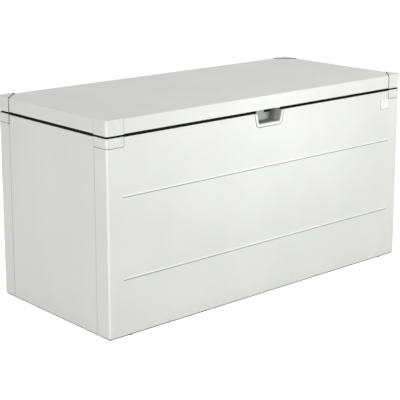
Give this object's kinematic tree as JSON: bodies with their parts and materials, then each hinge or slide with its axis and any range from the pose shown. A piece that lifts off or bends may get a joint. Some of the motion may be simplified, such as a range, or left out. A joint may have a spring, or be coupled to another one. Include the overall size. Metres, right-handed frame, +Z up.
{
  "type": "outdoor storage box",
  "caption": "Long sheet-steel storage chest with a flat lid hinged at the back on gas struts, capped corners, a recessed front grip, a key lock and a rubber rim seal.",
  "frame": {"origin": "on the ground under the middle of the closed box", "axes": "+X along the front towards the right end seen from the front, +Y from front to back, +Z up"},
  "size_m": [1.604, 0.704, 0.814],
  "materials": {
    "coated_steel": "white powder coat, satin, faint orange peel",
    "cap_plastic": "white moulded plastic, satin",
    "grip_plastic": "white to pale grey moulded plastic, satin",
    "seal_rubber": "black rubber, matt",
    "galvanised_steel": "zinc coated",
    "floor_aluminium": "plain rolled",
    "foot_plastic": "dark grey moulded plastic",
    "hinge_steel": "satin",
    "strut_black": "black, satin",
    "strut_rod_chrome": "ground and polished",
    "lock_nickel": "nickel plated",
    "plate_white": "blank white plate, satin"
  },
  "bodies": {
    "body": {"back_panel": "coated_steel", "bare_plate": "plate_white", "base_rail_back": "galvanised_steel", "base_rail_front": "galvanised_steel", "base_rail_left": "galvanised_steel", "base_rail_right": "galvanised_steel", "body_cap_back_left": "cap_plastic", "body_cap_back_right": "cap_plastic", "body_cap_front_left": "cap_plastic", "body_cap_front_right": "cap_plastic", "body_hinge_rivets": "hinge_steel", "corner_post_back_left": "galvanised_steel", "corner_post_back_right": "galvanised_steel", "corner_post_front_left": "galvanised_steel", "corner_post_front_right": "galvanised_steel", "floor_plank_1": "floor_aluminium", "floor_plank_2": "floor_aluminium", "floor_plank_3": "floor_aluminium", "foot_back_left": "foot_plastic", "foot_back_right": "foot_plastic", "foot_front_left": "foot_plastic", "foot_front_right": "foot_plastic", "front_panel": "coated_steel", "front_rim_rail_left": "coated_steel", "front_rim_rail_right": "coated_steel", "grip_cup": "grip_plastic", "hinge_body_leaf_left": "hinge_steel", "hinge_body_leaf_right": "hinge_steel", "hinge_pins": "hinge_steel", "lock_keeper": "galvanised_steel", "rear_rim_rail": "coated_steel", "rim_seal": "seal_rubber", "side_panel_left": "coated_steel", "side_panel_right": "coated_steel", "side_rim_rail_left": "coated_steel", "side_rim_rail_right": "coated_steel", "strut_anchor_left": "galvanised_steel", "strut_anchor_right": "galvanised_steel"},
    "lid": {"hinge_lid_leaf_left": "hinge_steel", "hinge_lid_leaf_right": "hinge_steel", "lid_cap_back_left": "cap_plastic", "lid_cap_back_right": "cap_plastic", "lid_cap_front_left": "cap_plastic", "lid_cap_front_right": "cap_plastic", "lid_hinge_rivets": "hinge_steel", "lid_panel": "coated_steel", "lid_stiffener_1": "galvanised_steel", "lid_stiffener_2": "galvanised_steel", "lid_stiffener_3": "galvanised_steel", "lid_strut_bracket_left": "galvanised_steel", "lid_strut_bracket_right": "galvanised_steel", "lock_barrel": "lock_nickel", "lock_plate": "galvanised_steel"},
    "lock": {"lock_plug": "lock_nickel", "lock_cam": "galvanised_steel"},
    "strut_tube_left": {"strut_tube_left": "strut_black"},
    "strut_rod_left": {"strut_rod_left": "strut_rod_chrome"},
    "strut_tube_right": {"strut_tube_right": "strut_black"},
    "strut_rod_right": {"strut_rod_right": "strut_rod_chrome"}
  },
  "joints": [
    {"name": "lid_hinge", "type": "hinge", "parent": "body", "child": "lid", "pos_m": [0, 0.347, 0.752], "axis": [-1, 0, 0], "range_deg": [0, 70]},
    {"name": "strut_swing_left", "type": "hinge", "parent": "body", "child": "strut_tube_left", "pos_m": [-0.745, 0.283, 0.672], "axis": [-1, 0, 0], "range_deg": [0, 63.53]},
    {"name": "strut_slide_left", "type": "slide", "parent": "strut_tube_left", "child": "strut_rod_left", "axis": [0, -0.9075, 0.4201], "range_m": [0, 0.11267]},
    {"name": "strut_swing_right", "type": "hinge", "parent": "body", "child": "strut_tube_right", "pos_m": [0.745, 0.283, 0.672], "axis": [-1, 0, 0], "range_deg": [0, 63.53]},
    {"name": "strut_slide_right", "type": "slide", "parent": "strut_tube_right", "child": "strut_rod_right", "axis": [0, -0.9075, 0.4201], "range_m": [0, 0.11267]},
    {"name": "lock_turn", "type": "hinge", "parent": "lid", "child": "lock", "pos_m": [0.06, -0.334, 0.758], "axis": [0, 0, -1], "range_deg": [0, 90]}
  ],
  "couplings": [
    {"joint": "strut_swing_left", "follows": "lid_hinge", "ratio": 0.9005},
    {"joint": "strut_slide_left", "follows": "lid_hinge", "m_per_rad": 0.091812},
    {"joint": "strut_swing_right", "follows": "lid_hinge", "ratio": 0.9005},
    {"joint": "strut_slide_right", "follows": "lid_hinge", "m_per_rad": 0.091812}
  ]
}
